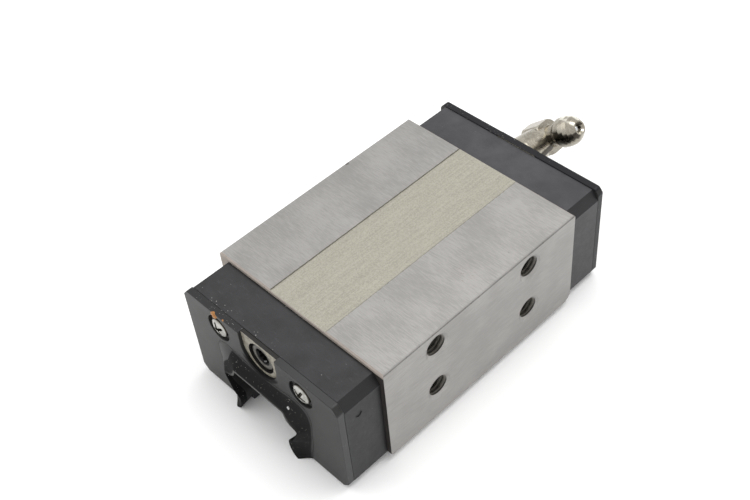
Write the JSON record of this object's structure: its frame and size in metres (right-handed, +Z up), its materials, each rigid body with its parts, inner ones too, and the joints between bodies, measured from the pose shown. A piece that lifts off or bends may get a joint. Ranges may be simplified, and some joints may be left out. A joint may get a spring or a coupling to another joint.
{
  "type": "linear guide carriage",
  "caption": "Linear guide carriage: side-tapped steel block on recirculating balls, with resin end plates, lipped end seals, a plugged grease port and an elbow grease nipple.",
  "frame": {"origin": "on the rail's centre plane, midway along the block, in the plane of the steel block's underside", "axes": "+X across the rail towards the tapped mounting side, +Y along the rail towards the grease nipple, +Z up towards the top reference face"},
  "size_m": [0.0434, 0.0839, 0.0278],
  "materials": {
    "ground_steel": "ground steel, fine scratches on the two ground top strips and matt unground strip between them",
    "end_plate_resin": "moulded dark grey resin, fine grain",
    "seal_rubber": "smooth dark grey rubber, slight sheen, dust in places",
    "core_plate": "plated sheet steel, pale cream",
    "screw_steel": "bright plated",
    "plug_steel": "dull plated",
    "nickel_plate": "satin nickel plate",
    "spring_wire": "drawn wire",
    "ball_steel": "polished bearing steel",
    "retainer_resin": "moulded resin",
    "guide_resin": "moulded natural resin"
  },
  "bodies": {
    "carriage": {"carriage_block": "ground_steel", "front_end_plate": "end_plate_resin", "rear_end_plate": "end_plate_resin", "front_seal": "seal_rubber", "rear_seal": "seal_rubber", "front_seal_core": "core_plate", "rear_seal_core": "core_plate", "front_screws": "screw_steel", "rear_screws": "screw_steel", "front_port_plug": "plug_steel", "nipple_body": "nickel_plate", "nipple_spring": "spring_wire", "upper_retainer": "retainer_resin", "right_side_retainer": "retainer_resin", "left_side_retainer": "retainer_resin", "right_lower_retainer": "retainer_resin", "left_lower_retainer": "retainer_resin", "right_bottom_seal": "seal_rubber", "left_bottom_seal": "seal_rubber", "front_right_return_guide": "guide_resin", "front_left_return_guide": "guide_resin", "rear_right_return_guide": "guide_resin", "rear_left_return_guide": "guide_resin"},
    "right_upper_loaded_balls": {"right_upper_loaded_balls": "ball_steel"},
    "right_upper_return_balls": {"right_upper_return_balls": "ball_steel"},
    "right_upper_front_turn_balls": {"right_upper_front_turn_balls": "ball_steel"},
    "right_upper_rear_turn_balls": {"right_upper_rear_turn_balls": "ball_steel"},
    "right_lower_loaded_balls": {"right_lower_loaded_balls": "ball_steel"},
    "right_lower_return_balls": {"right_lower_return_balls": "ball_steel"},
    "right_lower_front_turn_balls": {"right_lower_front_turn_balls": "ball_steel"},
    "right_lower_rear_turn_balls": {"right_lower_rear_turn_balls": "ball_steel"},
    "left_upper_loaded_balls": {"left_upper_loaded_balls": "ball_steel"},
    "left_upper_return_balls": {"left_upper_return_balls": "ball_steel"},
    "left_upper_front_turn_balls": {"left_upper_front_turn_balls": "ball_steel"},
    "left_upper_rear_turn_balls": {"left_upper_rear_turn_balls": "ball_steel"},
    "left_lower_loaded_balls": {"left_lower_loaded_balls": "ball_steel"},
    "left_lower_return_balls": {"left_lower_return_balls": "ball_steel"},
    "left_lower_front_turn_balls": {"left_lower_front_turn_balls": "ball_steel"},
    "left_lower_rear_turn_balls": {"left_lower_rear_turn_balls": "ball_steel"},
    "nipple_check_ball": {"nipple_check_ball": "ball_steel"}
  },
  "joints": [
    {"name": "right_upper_loaded_roll", "type": "slide", "parent": "carriage", "child": "right_upper_loaded_balls", "axis": [0, 1, 0], "range_m": [-0.0015, 0.0015]},
    {"name": "right_upper_return_roll", "type": "slide", "parent": "carriage", "child": "right_upper_return_balls", "axis": [0, 1, 0], "range_m": [-0.0015, 0.0015]},
    {"name": "right_upper_front_turn_roll", "type": "hinge", "parent": "carriage", "child": "right_upper_front_turn_balls", "pos_m": [0.01143, -0.0254, 0.01253], "axis": [0.7071, 0, -0.7071], "range_deg": [-27.3, 27.3]},
    {"name": "right_upper_rear_turn_roll", "type": "hinge", "parent": "carriage", "child": "right_upper_rear_turn_balls", "pos_m": [0.01143, 0.0254, 0.01253], "axis": [0.7071, 0, -0.7071], "range_deg": [-27.3, 27.3]},
    {"name": "right_lower_loaded_roll", "type": "slide", "parent": "carriage", "child": "right_lower_loaded_balls", "axis": [0, 1, 0], "range_m": [-0.0015, 0.0015]},
    {"name": "right_lower_return_roll", "type": "slide", "parent": "carriage", "child": "right_lower_return_balls", "axis": [0, 1, 0], "range_m": [-0.0015, 0.0015]},
    {"name": "right_lower_front_turn_roll", "type": "hinge", "parent": "carriage", "child": "right_lower_front_turn_balls", "pos_m": [0.01276, -0.0254, 0.00392], "axis": [-0.342, 0, -0.9397], "range_deg": [-27.3, 27.3]},
    {"name": "right_lower_rear_turn_roll", "type": "hinge", "parent": "carriage", "child": "right_lower_rear_turn_balls", "pos_m": [0.01276, 0.0254, 0.00392], "axis": [-0.342, 0, -0.9397], "range_deg": [-27.3, 27.3]},
    {"name": "left_upper_loaded_roll", "type": "slide", "parent": "carriage", "child": "left_upper_loaded_balls", "axis": [0, 1, 0], "range_m": [-0.0015, 0.0015]},
    {"name": "left_upper_return_roll", "type": "slide", "parent": "carriage", "child": "left_upper_return_balls", "axis": [0, 1, 0], "range_m": [-0.0015, 0.0015]},
    {"name": "left_upper_front_turn_roll", "type": "hinge", "parent": "carriage", "child": "left_upper_front_turn_balls", "pos_m": [-0.01143, -0.0254, 0.01253], "axis": [0.7071, 0, 0.7071], "range_deg": [-27.3, 27.3]},
    {"name": "left_upper_rear_turn_roll", "type": "hinge", "parent": "carriage", "child": "left_upper_rear_turn_balls", "pos_m": [-0.01143, 0.0254, 0.01253], "axis": [0.7071, 0, 0.7071], "range_deg": [-27.3, 27.3]},
    {"name": "left_lower_loaded_roll", "type": "slide", "parent": "carriage", "child": "left_lower_loaded_balls", "axis": [0, 1, 0], "range_m": [-0.0015, 0.0015]},
    {"name": "left_lower_return_roll", "type": "slide", "parent": "carriage", "child": "left_lower_return_balls", "axis": [0, 1, 0], "range_m": [-0.0015, 0.0015]},
    {"name": "left_lower_front_turn_roll", "type": "hinge", "parent": "carriage", "child": "left_lower_front_turn_balls", "pos_m": [-0.01276, -0.0254, 0.00392], "axis": [-0.342, 0, 0.9397], "range_deg": [-27.3, 27.3]},
    {"name": "left_lower_rear_turn_roll", "type": "hinge", "parent": "carriage", "child": "left_lower_rear_turn_balls", "pos_m": [-0.01276, 0.0254, 0.00392], "axis": [-0.342, 0, 0.9397], "range_deg": [-27.3, 27.3]},
    {"name": "nipple_check", "type": "slide", "parent": "carriage", "child": "nipple_check_ball", "axis": [-0.7631, -0.0872, -0.6403], "range_m": [0, 0.0008], "stiffness_N_per_m": 5, "springref_m": -0.001, "deforming": ["nipple_spring"]}
  ],
  "couplings": [
    {"joint": "right_upper_return_roll", "follows": "right_upper_loaded_roll", "ratio": -1},
    {"joint": "right_upper_front_turn_roll", "follows": "right_upper_loaded_roll", "rad_per_m": 317.46},
    {"joint": "right_upper_rear_turn_roll", "follows": "right_upper_loaded_roll", "rad_per_m": 317.46},
    {"joint": "right_lower_return_roll", "follows": "right_lower_loaded_roll", "ratio": -1},
    {"joint": "right_lower_front_turn_roll", "follows": "right_lower_loaded_roll", "rad_per_m": 317.46},
    {"joint": "right_lower_rear_turn_roll", "follows": "right_lower_loaded_roll", "rad_per_m": 317.46},
    {"joint": "left_upper_return_roll", "follows": "left_upper_loaded_roll", "ratio": -1},
    {"joint": "left_upper_front_turn_roll", "follows": "left_upper_loaded_roll", "rad_per_m": 317.46},
    {"joint": "left_upper_rear_turn_roll", "follows": "left_upper_loaded_roll", "rad_per_m": 317.46},
    {"joint": "left_lower_return_roll", "follows": "left_lower_loaded_roll", "ratio": -1},
    {"joint": "left_lower_front_turn_roll", "follows": "left_lower_loaded_roll", "rad_per_m": 317.46},
    {"joint": "left_lower_rear_turn_roll", "follows": "left_lower_loaded_roll", "rad_per_m": 317.46}
  ]
}
